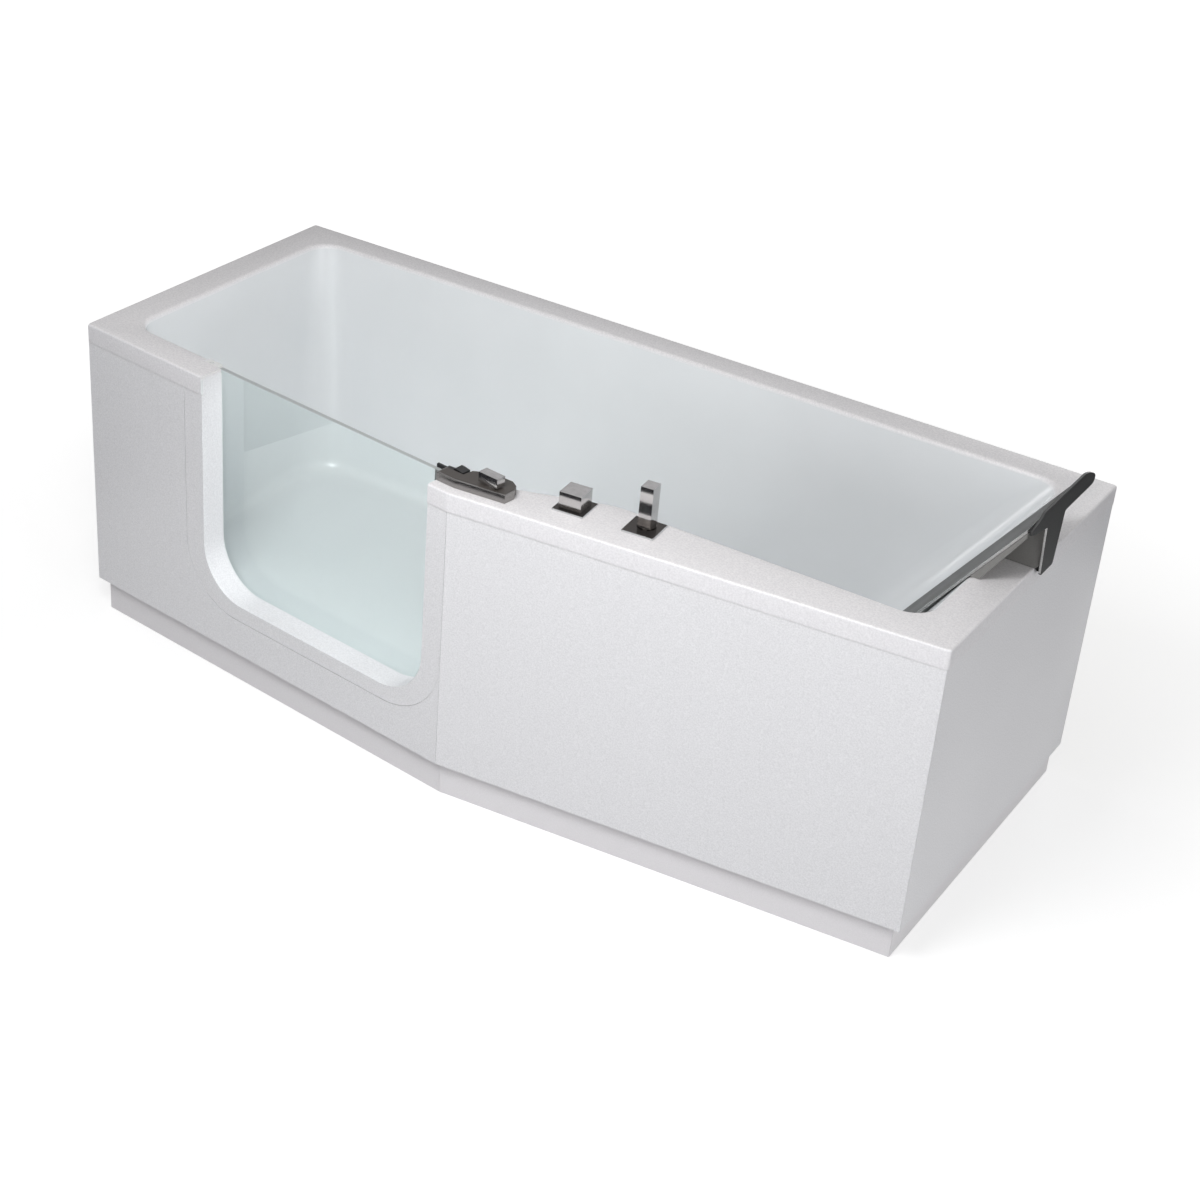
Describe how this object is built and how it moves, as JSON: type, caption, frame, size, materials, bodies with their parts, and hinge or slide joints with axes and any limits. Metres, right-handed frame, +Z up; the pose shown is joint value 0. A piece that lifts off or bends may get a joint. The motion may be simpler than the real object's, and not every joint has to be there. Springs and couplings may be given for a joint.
{
  "type": "walk in bathtub with door",
  "caption": "Rectangular bath with a kinked front, an inward-opening glass door at one side, a deck mixer, a pull-out hand shower and a hook-on back support.",
  "frame": {"origin": "centre of the bounding box on the floor", "axes": "+X towards the end with the back support, +Y towards the wall, +Z up; the door is in the front, at -X"},
  "size_m": [1.712, 0.7499, 0.709],
  "materials": {
    "acrylic": "gloss white acrylic",
    "trim": "gloss white moulding",
    "board": "white lacquer",
    "steel": "zinc plated",
    "wood": "sealed board",
    "chrome": "polished chrome",
    "glass": "clear toughened",
    "rubber": "matt",
    "white_rubber": "matt white",
    "dark_metal": "satin anthracite",
    "brass": "raw",
    "black_plastic": "fine texture",
    "white_plastic": "smooth",
    "grey_metal": "satin grey"
  },
  "bodies": {
    "bath": {"tub_shell": "acrylic", "door_surround": "trim", "panel_door_side": "acrylic", "panel_front": "acrylic", "panel_right_end": "acrylic", "panel_left_end": "acrylic", "plinth_door_side": "board", "plinth_front": "board", "plinth_right": "board", "plinth_left": "board", "base_frame": "steel", "floor_board": "wood", "rim_posts": "steel", "foot_screws": "steel", "foot_nuts": "steel", "foot_pads": "rubber", "door_seal": "white_rubber", "hinge_pins": "chrome", "hinge_block_top": "trim", "hinge_block_bottom": "trim", "lock_base": "black_plastic", "lock_cover": "dark_metal", "lock_fascia": "chrome", "mixer_rosette": "chrome", "mixer_body": "brass", "mixer_nut": "brass", "filler_pipe": "white_plastic", "shower_rosette": "chrome", "shower_sleeve": "chrome", "shower_nut": "brass", "shower_hose": "chrome", "drain_flange": "chrome", "drain_body": "black_plastic", "trap": "white_plastic", "overflow_rosette": "chrome", "overflow_body": "black_plastic", "overflow_pipe": "white_plastic", "plug_cable": "black_plastic", "back_plate": "grey_metal", "back_cheeks": "grey_metal", "back_web": "grey_metal", "hook_plate": "dark_metal", "hook_gussets": "grey_metal", "rim_pad": "rubber"},
    "door": {"door_glass": "glass", "hinge_post": "chrome", "hinge_bushes": "white_plastic", "latch_keeper": "black_plastic", "keeper_box": "black_plastic", "keeper_screws": "chrome"},
    "lock_handle": {"lock_knob": "chrome", "lock_spindle": "brass"},
    "bolt": {"latch_bolt": "steel"},
    "mixer_handle": {"mixer_knob": "chrome", "mixer_stem": "brass"},
    "shower": {"hand_shower": "chrome"},
    "overflow_handle": {"overflow_knob": "chrome"},
    "plug": {"drain_plug": "chrome", "plug_seal": "rubber"}
  },
  "joints": [
    {"name": "door_hinge", "type": "hinge", "parent": "bath", "child": "door", "pos_m": [-0.58543, -0.25041, 0.42], "axis": [0, 0, 1], "range_deg": [0, 80]},
    {"name": "lock_turn", "type": "hinge", "parent": "bath", "child": "lock_handle", "pos_m": [0.05756, -0.331, 0.6], "axis": [0, 0, 1], "range_deg": [0, 90]},
    {"name": "bolt_slide", "type": "slide", "parent": "bath", "child": "bolt", "axis": [-0.993, 0.1178, 0], "range_m": [0, 0.0126]},
    {"name": "mixer_turn", "type": "hinge", "parent": "bath", "child": "mixer_handle", "pos_m": [0.18622, -0.28431, 0.6], "axis": [0, 0, 1], "range_deg": [0, 100]},
    {"name": "shower_lift", "type": "slide", "parent": "bath", "child": "shower", "axis": [0, 0, 1], "range_m": [0, 0.3], "deforming": ["shower_hose"]},
    {"name": "overflow_turn", "type": "hinge", "parent": "bath", "child": "overflow_handle", "pos_m": [0.394, -0.22755, 0.495], "axis": [0, 0.9989, 0.0468], "range_deg": [0, 90]},
    {"name": "plug_lift", "type": "slide", "parent": "bath", "child": "plug", "axis": [0, 0, 1], "range_m": [0, 0.0121]}
  ],
  "couplings": [
    {"joint": "bolt_slide", "follows": "lock_turn", "m_per_rad": 0.008},
    {"joint": "plug_lift", "follows": "overflow_turn", "m_per_rad": 0.0076394}
  ]
}
